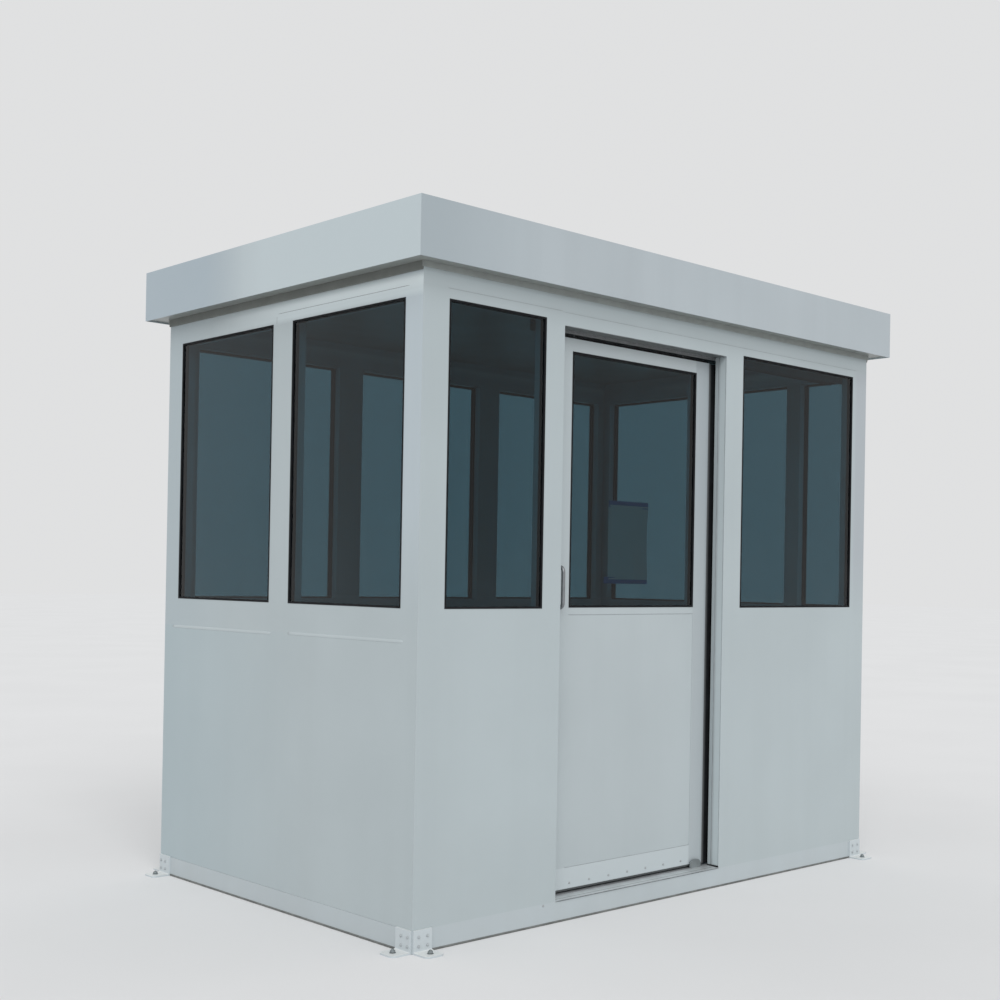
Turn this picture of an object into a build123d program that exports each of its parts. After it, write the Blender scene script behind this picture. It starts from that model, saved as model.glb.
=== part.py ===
from build123d import *
import os

os.makedirs("parts", exist_ok=True)

# Security guard booth with one sliding door, in millimetres.
# The door wall faces -Y, the end wall with two windows faces -X, and +Z is up.
# The origin is on the ground, under the middle of the booth.

# Walls in plan and height
booth_length = 2540
booth_depth = 1626
wall_thickness = 57
base_height = 75
panel_seam_height = 1005
sill_height = 1111
window_height = 1018
soffit_height = 2236

# Windows along the walls
front_left_corner_width = 111
front_right_corner_width = 105
end_front_corner_width = 90
end_rear_corner_width = 101
rear_corner_width = 100
front_left_window_from_post = 39
front_right_window_from_post = 56
mullion_width = 126
slim_mullion_width = 76
slim_mullion_from_corner = 354
rear_window_count = 3

# Glass and its rubber gasket, whose lip stands a little proud of the frame
gasket_width = 7
gasket_depth = 24
gasket_lip_height = 1
glass_thickness = 6
glass_recess = 4

# Doorway
doorway_from_corner = 643
doorway_width = 908
doorway_height = 2113
door_post_width = 51
jamb_joint_depth = 38
jamb_joint_size = 1.5

# Base frame and floor
rail_width = 50
rail_lower_radius = 4
end_rail_upper_chamfer = 2
joist_count = 3
joist_width = 40
floor_thickness = 4
threshold_nosing = 2
threshold_nose_height = 2
threshold_slope_run = 38

# Roof
roof_overhang = 73
fascia_lip = 6
fascia_height = 195
fascia_thickness = 3
roof_pan_thickness = 3
deck_edge_thickness = 6
deck_rise = 25

# Sliding leaf
leaf_gap_behind_wall = 7
leaf_thickness = 44
leaf_floor_gap = 15
leaf_top_gap = 25
leaf_overlap_left = 12
leaf_short_of_right_jamb = 32
lock_stile_width = 117
trail_stile_width = 77
top_rail_height = 47
middle_rail_height = 25
bottom_rail_height = 76
leaf_glass_height = 929
leaf_panel_recess = 1
leaf_panel_thickness = 42

# Rubber seals on the leaf
edge_seal_overlap = 20
edge_seal_thickness = 12
edge_seal_setback = 4
top_seal_height = 8
bottom_seal_height = 8

# Pull handle
handle_from_jamb = 41
handle_length = 160
handle_standoff = 35
handle_rod = 14
handle_bend = 18
handle_centre_height = 1185
handle_foot_radius = 12
handle_foot_thickness = 3

# Track over the door and its rollers
track_sheet = 2
track_bottom_gap = 12
track_height = 89
track_inner_width = 54
track_ledge_width = 14
track_ledge_height = 6
track_ledge_above_bottom = 24
track_past_leaf_left = 50
track_end_from_wall = 50
roller_radius = 18
roller_width = 7
roller_clearance = 0.3
roller_side_clearance = 5
roller_axle_radius = 4
hanger_stem_radius = 6
hanger_block_length = 60
hanger_block_width = 24
hanger_block_height = 30
hanger_from_leaf_edge = 140
hanger_count = 2

# Bottom guide of the leaf
guide_width = 61
guide_height = 32
guide_thickness = 6
guide_leaf_clearance = 6
guide_corner_radius = 20
guide_from_right_jamb = 49

# Anchor brackets
bracket_leg = 76
bracket_length = 76
bracket_thickness = 6
bracket_from_corner = 3
bracket_bend_radius = 5
bracket_foot_corner_radius = 18
anchor_hole_radius = 7
anchor_hole_from_wall = 45

# Places worked out from the sizes above
half_length = booth_length / 2
half_depth = booth_depth / 2
floor_top = base_height + floor_thickness
window_head = sill_height + window_height
doorway_left = -half_length + doorway_from_corner
doorway_right = doorway_left + doorway_width
post_left_start = doorway_left - door_post_width
post_right_end = doorway_right + door_post_width
inner_front = -half_depth + wall_thickness
inner_half_length = half_length - wall_thickness
leaf_front = inner_front + leaf_gap_behind_wall
leaf_middle = leaf_front + leaf_thickness / 2
leaf_back = leaf_front + leaf_thickness
leaf_left = doorway_left - leaf_overlap_left
leaf_right = doorway_right - leaf_short_of_right_jamb
leaf_bottom = floor_top + leaf_floor_gap
leaf_top = doorway_height - leaf_top_gap
fascia_bottom = soffit_height - fascia_lip
fascia_top = fascia_bottom + fascia_height

# Each wall has a plane on its outer face: X runs along the wall, Y is up and Z points outwards.
front_wall = Plane(origin=(0, -half_depth, 0), x_dir=(1, 0, 0), z_dir=(0, -1, 0))
rear_wall = Plane(origin=(0, half_depth, 0), x_dir=(-1, 0, 0), z_dir=(0, 1, 0))
left_wall = Plane(origin=(-half_length, 0, 0), x_dir=(0, -1, 0), z_dir=(-1, 0, 0))
right_wall = Plane(origin=(half_length, 0, 0), x_dir=(0, 1, 0), z_dir=(1, 0, 0))


def save(builder, name):
    """Labels a finished piece and writes it."""
    builder.part.label = name
    export_step(builder.part, f"parts/{name}.step")


def draw_wall_plan(wall, start, end, thickness, start_mitred=False, end_mitred=False, outset=0):
    """Draws a wall's plan between two stations along it, cut at 45 degrees where it turns a corner."""
    inner_start = start + thickness if start_mitred else start
    inner_end = end - thickness if end_mitred else end
    inset = outset - thickness
    outline = [(start, outset), (end, outset), (inner_end, inset), (inner_start, inset)]
    corners = [wall.from_local_coords((along, 0, out)) for along, out in outline]
    Polygon(*[(corner.X, corner.Y) for corner in corners], align=None)


def draw_windows(windows, inset=0, mode=Mode.ADD):
    """Draws window rectangles, given as spans along a wall, drawn in by inset on every side."""
    for start, end in windows:
        with Locations(((start + end) / 2, sill_height + window_height / 2)):
            Rectangle(end - start - 2 * inset, window_height - 2 * inset, mode=mode)


# Window spans, measured along each wall's own plane
end_window_width = (booth_depth - end_front_corner_width - end_rear_corner_width - mullion_width) / 2
rear_window_width = (
    booth_length - 2 * rear_corner_width - (rear_window_count - 1) * mullion_width
) / rear_window_count
slim_mullion_middle = -half_depth + slim_mullion_from_corner

front_left_windows = [
    (-half_length + front_left_corner_width, post_left_start - front_left_window_from_post)
]
front_right_windows = [
    (post_right_end + front_right_window_from_post, half_length - front_right_corner_width)
]
end_front_window_start = -half_depth + end_front_corner_width
end_rear_window_end = half_depth - end_rear_corner_width
end_front_window = (end_front_window_start, end_front_window_start + end_window_width)
end_rear_window = (end_rear_window_end - end_window_width, end_rear_window_end)
left_windows = [
    (-end_rear_window[1], -end_rear_window[0]),
    (-end_front_window[1], -end_front_window[0]),
]
right_windows = [
    (end_front_window[0], slim_mullion_middle - slim_mullion_width / 2),
    (slim_mullion_middle + slim_mullion_width / 2, end_front_window[1]),
    end_rear_window,
]
rear_windows = [
    (
        -half_length + rear_corner_width + number * (rear_window_width + mullion_width),
        -half_length + rear_corner_width + number * (rear_window_width + mullion_width) + rear_window_width,
    )
    for number in range(rear_window_count)
]

# Base rails: two long tubes along the front and the back, rounded where they meet the ground outside
with BuildPart() as base_long_rails:
    with BuildSketch():
        with Locations((0, -half_depth + rail_width / 2), (0, half_depth - rail_width / 2)):
            Rectangle(booth_length, rail_width)
    extrude(amount=base_height)
    lower_edges = base_long_rails.edges().filter_by(Axis.X).group_by(Axis.Z)[0].group_by(Axis.Y)
    fillet(lower_edges[0] + lower_edges[-1], radius=rail_lower_radius)
save(base_long_rails, "base_long_rails")

# Base rails: the two ends and the floor joists, welded between the long rails.
# The end rails are chamfered along the top, which leaves a fine groove under the wall.
cross_length = booth_depth - 2 * rail_width
joist_pitch = (booth_length - 2 * rail_width) / (joist_count + 1)
with BuildPart() as base_cross_rails:
    with BuildSketch():
        with Locations((-half_length + rail_width / 2, 0), (half_length - rail_width / 2, 0)):
            Rectangle(rail_width, cross_length)
        with GridLocations(joist_pitch, 0, joist_count, 1):
            Rectangle(joist_width, cross_length)
    extrude(amount=base_height)
    cross_edges = base_cross_rails.edges().filter_by(Axis.Y).group_by(Axis.Z)
    lower_edges = cross_edges[0].group_by(Axis.X)
    upper_edges = cross_edges[-1].group_by(Axis.X)
    fillet(lower_edges[0] + lower_edges[-1], radius=rail_lower_radius)
    chamfer(upper_edges[0] + upper_edges[-1], length=end_rail_upper_chamfer)
save(base_cross_rails, "base_cross_rails")

# Floor plate, inside the walls
with BuildPart() as floor_plate:
    with BuildSketch(Plane.XY.offset(base_height)):
        Rectangle(booth_length - 2 * wall_thickness, booth_depth - 2 * wall_thickness)
    extrude(amount=floor_thickness)
save(floor_plate, "floor_plate")

# Lower walls, below the window frames
lower_walls = [
    ("left_lower_wall", left_wall, -half_depth, half_depth, True, True),
    ("right_lower_wall", right_wall, -half_depth, half_depth, True, True),
    ("rear_lower_wall", rear_wall, -half_length, half_length, True, True),
    ("front_lower_wall_left", front_wall, -half_length, post_left_start, True, False),
    ("front_lower_wall_right", front_wall, post_right_end, half_length, False, True),
]
for name, wall, start, end, start_mitred, end_mitred in lower_walls:
    with BuildPart() as lower_wall:
        with BuildSketch(Plane.XY.offset(base_height)):
            draw_wall_plan(wall, start, end, wall_thickness, start_mitred, end_mitred)
        extrude(amount=panel_seam_height - base_height)
    save(lower_wall, name)

# Window frames: sill rail, mullions, corner posts and head rail welded as one frame on each wall
window_frames = [
    ("left_window_frame", left_wall, -half_depth, half_depth, True, True, left_windows),
    ("right_window_frame", right_wall, -half_depth, half_depth, True, True, right_windows),
    ("rear_window_frame", rear_wall, -half_length, half_length, True, True, rear_windows),
    ("front_window_frame_left", front_wall, -half_length, post_left_start, True, False, front_left_windows),
    ("front_window_frame_right", front_wall, post_right_end, half_length, False, True, front_right_windows),
]
for name, wall, start, end, start_mitred, end_mitred, windows in window_frames:
    with BuildPart() as window_frame:
        with BuildSketch(Plane.XY.offset(panel_seam_height)):
            draw_wall_plan(wall, start, end, wall_thickness, start_mitred, end_mitred)
        extrude(amount=soffit_height - panel_seam_height)
        with BuildSketch(wall):
            draw_windows(windows)
        extrude(amount=-wall_thickness, mode=Mode.SUBTRACT)
    save(window_frame, name)

# Door posts, with the joint line of the folded jamb down the middle of the reveal
door_posts = [
    ("door_post_left", post_left_start, doorway_left, doorway_left),
    ("door_post_right", doorway_right, post_right_end, doorway_right),
]
for name, start, end, jamb_face in door_posts:
    with BuildPart() as door_post:
        with BuildSketch(Plane.XY.offset(base_height)):
            draw_wall_plan(front_wall, start, end, wall_thickness)
            with Locations((jamb_face, -half_depth + jamb_joint_depth)):
                Rectangle(jamb_joint_size * 2, jamb_joint_size, rotation=45, mode=Mode.SUBTRACT)
        extrude(amount=soffit_height - base_height)
    save(door_post, name)

# Header over the doorway
with BuildPart() as door_header:
    with BuildSketch(Plane.XY.offset(doorway_height)):
        draw_wall_plan(front_wall, doorway_left, doorway_right, wall_thickness)
    extrude(amount=soffit_height - doorway_height)
save(door_header, "door_header")


def build_panes(wall, windows, name):
    """Makes the panes of one wall, each held inside its own gasket."""
    with BuildPart() as panes:
        with BuildSketch(wall.offset(-glass_recess)):
            draw_windows(windows, inset=gasket_width)
        extrude(amount=-glass_thickness)
    save(panes, name)


def build_gaskets(wall, windows, name):
    """Makes the rubber gaskets that fill the edge of each window opening on one wall."""
    with BuildPart() as gaskets:
        with BuildSketch(wall.offset(gasket_lip_height)):
            draw_windows(windows)
            draw_windows(windows, inset=gasket_width, mode=Mode.SUBTRACT)
        extrude(amount=-gasket_depth)
    save(gaskets, name)


glazed_walls = [
    ("left", left_wall, left_windows),
    ("right", right_wall, right_windows),
    ("rear", rear_wall, rear_windows),
    ("front", front_wall, front_left_windows + front_right_windows),
]
for side, wall, windows in glazed_walls:
    build_panes(wall, windows, f"{side}_window_glass")
    build_gaskets(wall, windows, f"{side}_window_gaskets")

# Threshold: a metal sill that slopes up to the floor
with BuildPart() as door_threshold:
    with BuildSketch(Plane.YZ.offset(doorway_left)):
        nose = -half_depth - threshold_nosing
        with BuildLine():
            Polyline(
                (nose, base_height),
                (nose, base_height + threshold_nose_height),
                (-half_depth + threshold_slope_run, floor_top),
                (inner_front, floor_top),
                (inner_front, base_height),
                close=True,
            )
        make_face()
    extrude(amount=doorway_width)
save(door_threshold, "door_threshold")

# Roof pan: the soffit outside and the ceiling inside are one sheet
roof_half_length = half_length + roof_overhang
roof_half_depth = half_depth + roof_overhang
pan_length = 2 * (roof_half_length - fascia_thickness)
pan_depth = 2 * (roof_half_depth - fascia_thickness)
with BuildPart() as roof_pan:
    with BuildSketch(Plane.XY.offset(soffit_height)):
        Rectangle(pan_length, pan_depth)
    extrude(amount=roof_pan_thickness)
save(roof_pan, "roof_pan")

# Fascia: four plates with mitred corners, in a long pair and an end pair
fascia_pairs = [
    ("roof_fascia_long", (front_wall, rear_wall), roof_half_length),
    ("roof_fascia_ends", (left_wall, right_wall), roof_half_depth),
]
for name, walls, half_span in fascia_pairs:
    with BuildPart() as fascia:
        with BuildSketch(Plane.XY.offset(fascia_bottom)):
            for wall in walls:
                draw_wall_plan(
                    wall, -half_span, half_span, fascia_thickness, True, True, outset=roof_overhang
                )
        extrude(amount=fascia_height)
    save(fascia, name)

# Roof deck: a flat underside and a low hipped top that sheds water
with BuildPart() as roof_deck:
    with BuildSketch(Plane.XY.offset(fascia_top - deck_edge_thickness)):
        Rectangle(pan_length, pan_depth)
    extrude(amount=deck_edge_thickness)
    with BuildSketch(Plane.XY.offset(fascia_top)):
        Rectangle(pan_length, pan_depth)
    with BuildSketch(Plane.XY.offset(fascia_top + deck_rise)):
        Rectangle(pan_length - pan_depth + deck_edge_thickness, deck_edge_thickness)
    loft()
save(roof_deck, "roof_deck")


def build_bracket_pair(front_or_rear, end_wall, toward_front_corner, toward_end_corner, name):
    """Makes the two anchor brackets at one corner: one on the long wall and one on the end wall."""
    with BuildPart() as brackets:
        for wall, side, half_span in (
            (front_or_rear, toward_front_corner, half_length),
            (end_wall, toward_end_corner, half_depth),
        ):
            near = half_span - bracket_from_corner - bracket_length
            middle = side * (near + bracket_length / 2)
            profile = Plane(
                origin=wall.from_local_coords((middle - bracket_length / 2, 0, 0)),
                x_dir=wall.z_dir,
                z_dir=wall.x_dir,
            )
            with BuildSketch(profile) as bent_strip:
                with BuildLine():
                    up = 1 if profile.y_dir.Z > 0 else -1
                    FilletPolyline(
                        (bracket_thickness, up * bracket_leg),
                        (bracket_thickness, up * bracket_thickness),
                        (bracket_leg, up * bracket_thickness),
                        radius=bracket_bend_radius,
                    )
                    Polyline(
                        (bracket_leg, up * bracket_thickness),
                        (bracket_leg, 0),
                        (0, 0),
                        (0, up * bracket_leg),
                        (bracket_thickness, up * bracket_leg),
                    )
                make_face()
            extrude(amount=bracket_length)
            outward = Axis(origin=wall.origin, direction=wall.z_dir)
            outer_corners = brackets.edges().filter_by(Axis.Z).group_by(outward)[-1]
            fillet(outer_corners, radius=bracket_foot_corner_radius)
            foot = wall.from_local_coords((middle, 0, anchor_hole_from_wall))
            with Locations((foot.X, foot.Y, bracket_thickness)):
                Cylinder(
                    anchor_hole_radius,
                    2 * bracket_thickness + bracket_leg,
                    align=(Align.CENTER, Align.CENTER, Align.CENTER),
                    mode=Mode.SUBTRACT,
                )
    save(brackets, name)


bracket_corners = [
    ("anchor_brackets_front_left", front_wall, left_wall, -1, 1),
    ("anchor_brackets_front_right", front_wall, right_wall, 1, -1),
    ("anchor_brackets_rear_left", rear_wall, left_wall, 1, -1),
    ("anchor_brackets_rear_right", rear_wall, right_wall, -1, 1),
]
for name, long_wall, end_wall, long_side, end_side in bracket_corners:
    build_bracket_pair(long_wall, end_wall, long_side, end_side, name)

# Track housing: an upside-down channel on the inside of the front wall
track_bottom = doorway_height - track_bottom_gap
track_top = track_bottom + track_height
track_left = leaf_left - track_past_leaf_left
track_right = inner_half_length - track_end_from_wall
track_length = track_right - track_left
track_outer_width = track_inner_width + 2 * track_sheet
with BuildPart() as door_track_housing:
    with BuildSketch(Plane.YZ.offset(track_left)):
        with Locations((inner_front + track_outer_width / 2, track_bottom + track_height / 2)):
            Rectangle(track_outer_width, track_height)
        inner_height = track_height - track_sheet
        with Locations((inner_front + track_outer_width / 2, track_bottom + inner_height / 2)):
            Rectangle(track_inner_width, inner_height, mode=Mode.SUBTRACT)
    extrude(amount=track_length)
save(door_track_housing, "door_track_housing")

# Track rails: the two ledges that the rollers run on
track_inner_front = inner_front + track_sheet
track_inner_back = track_inner_front + track_inner_width
track_middle = (track_inner_front + track_inner_back) / 2
ledge_bottom = track_bottom + track_ledge_above_bottom
ledge_top = ledge_bottom + track_ledge_height
with BuildPart() as door_track_rails:
    with BuildSketch(Plane.YZ.offset(track_left)):
        with Locations(
            (track_inner_front + track_ledge_width / 2, ledge_bottom + track_ledge_height / 2),
            (track_inner_back - track_ledge_width / 2, ledge_bottom + track_ledge_height / 2),
        ):
            Rectangle(track_ledge_width, track_ledge_height)
    extrude(amount=track_length)
save(door_track_rails, "door_track_rails")

# Bottom guide: a bent plate on the threshold that keeps the leaf's foot in line
guide_right = doorway_right - guide_from_right_jamb
guide_left = guide_right - guide_width
guide_back = leaf_front - guide_leaf_clearance
with BuildPart() as door_guide:
    with BuildSketch(Plane.XZ.offset(-guide_back)):
        with BuildLine():
            FilletPolyline(
                (guide_left, floor_top),
                (guide_left, floor_top + guide_height),
                (guide_right, floor_top + guide_height),
                (guide_right, floor_top),
                radius=guide_corner_radius,
            )
            Line((guide_right, floor_top), (guide_left, floor_top))
        make_face()
    extrude(amount=guide_thickness)
save(door_guide, "door_guide")

# Sliding leaf: stiles and rails with an opening for the glass and one for the lower panel
leaf_width = leaf_right - leaf_left
leaf_height = leaf_top - leaf_bottom
leaf_glass_top = leaf_top - top_rail_height
leaf_glass_bottom = leaf_glass_top - leaf_glass_height
leaf_panel_top = leaf_glass_bottom - middle_rail_height
leaf_panel_bottom = leaf_bottom + bottom_rail_height
leaf_bay_left = leaf_left + lock_stile_width
leaf_bay_right = leaf_right - trail_stile_width
leaf_bay_width = leaf_bay_right - leaf_bay_left
leaf_bay_middle = (leaf_bay_left + leaf_bay_right) / 2
leaf_face = Plane(origin=(0, leaf_front, 0), x_dir=(1, 0, 0), z_dir=(0, -1, 0))
with BuildPart() as door_frame:
    with BuildSketch(leaf_face):
        with Locations(((leaf_left + leaf_right) / 2, (leaf_bottom + leaf_top) / 2)):
            Rectangle(leaf_width, leaf_height)
        with Locations((leaf_bay_middle, leaf_glass_bottom + leaf_glass_height / 2)):
            Rectangle(leaf_bay_width, leaf_glass_height, mode=Mode.SUBTRACT)
        with Locations((leaf_bay_middle, (leaf_panel_bottom + leaf_panel_top) / 2)):
            Rectangle(leaf_bay_width, leaf_panel_top - leaf_panel_bottom, mode=Mode.SUBTRACT)
    extrude(amount=-leaf_thickness)
save(door_frame, "door_frame")

# Lower panel of the leaf, set a hair behind the stiles on each side
with BuildPart() as door_lower_panel:
    with BuildSketch(leaf_face.offset(-leaf_panel_recess)):
        with Locations((leaf_bay_middle, (leaf_panel_bottom + leaf_panel_top) / 2)):
            Rectangle(leaf_bay_width, leaf_panel_top - leaf_panel_bottom)
    extrude(amount=-leaf_panel_thickness)
save(door_lower_panel, "door_lower_panel")

# Glass of the leaf and its gasket
with BuildPart() as door_glass:
    with BuildSketch(leaf_face.offset(-glass_recess)):
        with Locations((leaf_bay_middle, leaf_glass_bottom + leaf_glass_height / 2)):
            Rectangle(leaf_bay_width - 2 * gasket_width, leaf_glass_height - 2 * gasket_width)
    extrude(amount=-glass_thickness)
save(door_glass, "door_glass")

with BuildPart() as door_glass_gasket:
    with BuildSketch(leaf_face.offset(gasket_lip_height)):
        with Locations((leaf_bay_middle, leaf_glass_bottom + leaf_glass_height / 2)):
            Rectangle(leaf_bay_width, leaf_glass_height)
            Rectangle(
                leaf_bay_width - 2 * gasket_width, leaf_glass_height - 2 * gasket_width, mode=Mode.SUBTRACT
            )
    extrude(amount=-gasket_depth)
save(door_glass_gasket, "door_glass_gasket")

# Black rubber seals: a wide flap on the trailing edge, and strips along the head and the foot
edge_seal_width = leaf_short_of_right_jamb + edge_seal_overlap
with BuildPart() as door_edge_seals:
    with BuildSketch(leaf_face.offset(-edge_seal_setback)):
        with Locations((leaf_right + edge_seal_width / 2, (leaf_bottom + leaf_top - bottom_seal_height) / 2)):
            Rectangle(edge_seal_width, leaf_height + bottom_seal_height)
        with Locations(((leaf_left + leaf_right) / 2, leaf_top + top_seal_height / 2)):
            Rectangle(leaf_width, top_seal_height)
        with Locations(((leaf_left + leaf_right) / 2, leaf_bottom - bottom_seal_height / 2)):
            Rectangle(leaf_width, bottom_seal_height)
    extrude(amount=-edge_seal_thickness)
save(door_edge_seals, "door_edge_seals")


# Pull handle: a bow of round rod on two round feet
handle_x = doorway_left + handle_from_jamb
handle_low = handle_centre_height - (handle_length - handle_rod) / 2
handle_high = handle_centre_height + (handle_length - handle_rod) / 2
grip_y = leaf_front - handle_standoff
with BuildPart() as door_pull_handle:
    with BuildLine():
        FilletPolyline(
            (handle_x, leaf_front, handle_low),
            (handle_x, grip_y, handle_low),
            (handle_x, grip_y, handle_high),
            (handle_x, leaf_front, handle_high),
            radius=handle_bend,
        )
    with BuildSketch(Plane(origin=(handle_x, leaf_front, handle_low), z_dir=(0, -1, 0))):
        Circle(handle_rod / 2)
    sweep()
    with BuildSketch(leaf_face):
        with Locations((handle_x, handle_low), (handle_x, handle_high)):
            Circle(handle_foot_radius)
    extrude(amount=handle_foot_thickness)
save(door_pull_handle, "door_pull_handle")

# Hangers: each has two rollers on an axle, a block and a stem that stands on the leaf
roller_centre_height = ledge_top + roller_clearance + roller_radius
axle_length = track_inner_width - 2 * roller_side_clearance
block_bottom = roller_centre_height - hanger_block_height / 2
hanger_pitch = (leaf_width - 2 * hanger_from_leaf_edge) / (hanger_count - 1)
with BuildPart() as door_hangers:
    for number in range(hanger_count):
        hanger_x = leaf_left + hanger_from_leaf_edge + number * hanger_pitch
        with Locations((hanger_x, track_middle, roller_centre_height)):
            Box(hanger_block_length, hanger_block_width, hanger_block_height)
            Cylinder(roller_axle_radius, axle_length, rotation=(90, 0, 0))
        for side in (-1, 1):
            roller_y = track_middle + side * (axle_length - roller_width) / 2
            with Locations((hanger_x, roller_y, roller_centre_height)):
                Cylinder(roller_radius, roller_width, rotation=(90, 0, 0))
        with BuildSketch(Plane.XY.offset(leaf_top)):
            with Locations((hanger_x, track_middle)):
                Circle(hanger_stem_radius)
        extrude(amount=block_bottom - leaf_top)
save(door_hangers, "door_hangers")
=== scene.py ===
import math

import bpy
from mathutils import Matrix, Vector


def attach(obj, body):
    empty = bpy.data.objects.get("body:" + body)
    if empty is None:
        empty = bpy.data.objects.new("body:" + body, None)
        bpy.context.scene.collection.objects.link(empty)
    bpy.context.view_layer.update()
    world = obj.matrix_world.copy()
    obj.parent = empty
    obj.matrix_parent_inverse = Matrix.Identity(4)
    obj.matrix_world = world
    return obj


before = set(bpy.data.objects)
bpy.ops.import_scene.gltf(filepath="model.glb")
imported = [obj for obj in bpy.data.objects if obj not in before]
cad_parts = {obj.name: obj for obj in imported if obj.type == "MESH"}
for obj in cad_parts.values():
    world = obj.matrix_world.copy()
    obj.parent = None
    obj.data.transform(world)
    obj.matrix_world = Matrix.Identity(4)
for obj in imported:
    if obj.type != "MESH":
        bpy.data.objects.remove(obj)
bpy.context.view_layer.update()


# BASE RAILS AND FLOOR
# The booth stands on a welded frame of square steel tubes, painted with the walls and
# dusty near the ground. A steel floor plate in dark grey deck paint lies on the tubes.

def start_finish(name):
    """A new finish: its material, node tree, main shader and the piece's own coordinates."""
    finish = bpy.data.materials.new(name)
    finish.use_nodes = True
    tree = finish.node_tree
    place = tree.nodes.new("ShaderNodeTexCoord").outputs["Object"]
    return finish, tree, tree.nodes["Principled BSDF"], place


def add_noise(tree, place, scale, detail=3.0, stretch=(1, 1, 1)):
    """Noise over the piece, drawn out along an axis where stretch is small."""
    mapping = tree.nodes.new("ShaderNodeMapping")
    mapping.inputs["Scale"].default_value = stretch
    noise = tree.nodes.new("ShaderNodeTexNoise")
    noise.inputs["Scale"].default_value = scale
    noise.inputs["Detail"].default_value = detail
    tree.links.new(place, mapping.inputs["Vector"])
    tree.links.new(mapping.outputs["Vector"], noise.inputs["Vector"])
    return noise.outputs["Fac"]


def spread(tree, value, low, high, first=0.35, last=0.65):
    """A value from first to last, mapped onto low to high and held there."""
    ramp = tree.nodes.new("ShaderNodeMapRange")
    ramp.inputs["From Min"].default_value = first
    ramp.inputs["From Max"].default_value = last
    ramp.inputs["To Min"].default_value = low
    ramp.inputs["To Max"].default_value = high
    tree.links.new(value, ramp.inputs["Value"])
    return ramp.outputs["Result"]


def multiply(tree, first, second):
    """The product of two values."""
    product = tree.nodes.new("ShaderNodeMath")
    product.operation = "MULTIPLY"
    tree.links.new(first, product.inputs[0])
    tree.links.new(second, product.inputs[1])
    return product.outputs["Value"]


def blend_colours(tree, share, first, second):
    """A colour between first and second; each is a colour or the end of another node."""
    mix = tree.nodes.new("ShaderNodeMix")
    mix.data_type = "RGBA"
    tree.links.new(share, mix.inputs["Factor"])
    for colour, socket in ((first, mix.inputs[6]), (second, mix.inputs[7])):
        if isinstance(colour, tuple):
            socket.default_value = (*colour, 1)
        else:
            tree.links.new(colour, socket)
    return mix.outputs[2]


def along_axis(tree, place, axis):
    """The part of a place or a direction that lies along one axis."""
    parts = tree.nodes.new("ShaderNodeSeparateXYZ")
    tree.links.new(place, parts.inputs["Vector"])
    return parts.outputs[axis]


def press_bumps(tree, shader, *bumps):
    """Relief on the surface: each bump is a height value and its depth in metres."""
    normal = None
    for height, depth in bumps:
        bump = tree.nodes.new("ShaderNodeBump")
        bump.inputs["Strength"].default_value = 1.0
        bump.inputs["Distance"].default_value = depth
        tree.links.new(height, bump.inputs["Height"])
        if normal:
            tree.links.new(normal, bump.inputs["Normal"])
        normal = bump.outputs["Normal"]
    tree.links.new(normal, shader.inputs["Normal"])


def shade(colour, amount):
    """A colour made lighter or darker."""
    return tuple(part * amount for part in colour)


def satin_paint(name, colour, dust=0.06, streaks=0.25):
    """Sprayed satin enamel on steel sheet: cloudy tone, faint runs of rain dust, orange peel."""
    finish, tree, shader, place = start_finish(name)
    cloud = spread(tree, add_noise(tree, place, 1.6, 5.0), 0.0, 1.0)
    tone = blend_colours(tree, cloud, shade(colour, 0.972), shade(colour, 1.028))
    runs = spread(tree, add_noise(tree, place, 7.0, 4.0, (1, 1, 0.05)), 0.0, streaks, 0.45, 0.75)
    tone = blend_colours(tree, runs, tone, shade(colour, 0.90))
    low = spread(tree, along_axis(tree, place, "Z"), 1.0, 0.0, 0.0, 0.45)
    patches = spread(tree, add_noise(tree, place, 11.0, 6.0), 0.35, 1.0)
    splash = spread(tree, multiply(tree, low, patches), 0.0, dust, 0.0, 1.0)
    tone = blend_colours(tree, splash, tone, (0.36, 0.345, 0.31))
    tree.links.new(tone, shader.inputs["Base Color"])
    sheen = spread(tree, add_noise(tree, place, 5.0, 4.0), 0.34, 0.44)
    tree.links.new(sheen, shader.inputs["Roughness"])
    peel = add_noise(tree, place, 650.0, 2.0)
    sway = add_noise(tree, place, 2.6, 1.0)
    press_bumps(tree, shader, (sway, 0.0012), (peel, 0.00004))
    return finish


def put_finish(finish, *names):
    """Gives the finish to nodes of the frame."""
    for name in names:
        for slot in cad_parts[name].material_slots:
            slot.material = finish


base_enamel = satin_paint("base_enamel", (0.442, 0.494, 0.518), dust=0.09)
put_finish(base_enamel, "base_long_rails", "base_cross_rails")


def deck_paint(name, colour):
    """Matt floor paint, rolled on, scuffed paler where feet go."""
    finish, tree, shader, place = start_finish(name)
    cloud = spread(tree, add_noise(tree, place, 4.0, 5.0), 0.0, 1.0)
    tone = blend_colours(tree, cloud, shade(colour, 0.85), shade(colour, 1.15))
    scuffs = spread(tree, add_noise(tree, place, 30.0, 6.0, (1, 0.35, 1)), 0.0, 0.5, 0.55, 0.8)
    tone = blend_colours(tree, scuffs, tone, shade(colour, 1.7))
    tree.links.new(tone, shader.inputs["Base Color"])
    tree.links.new(spread(tree, add_noise(tree, place, 14.0), 0.6, 0.8), shader.inputs["Roughness"])
    press_bumps(tree, shader, (add_noise(tree, place, 320.0, 3.0), 0.00015))
    return finish


floor_paint = deck_paint("floor_paint", (0.20, 0.21, 0.22))
put_finish(floor_paint, "floor_plate")


# WALLS
# Pressed steel panels form the lower half of each wall. Window frames of steel channel
# stand on them, and two posts and a header frame the doorway. All are one pale enamel.
# Painted light and shade are laid into its colour: a paler band under the roof's edge where
# the overhang shades the wall, a paler front corner, a darker right corner post, and end
# walls darker toward the rear.

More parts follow.
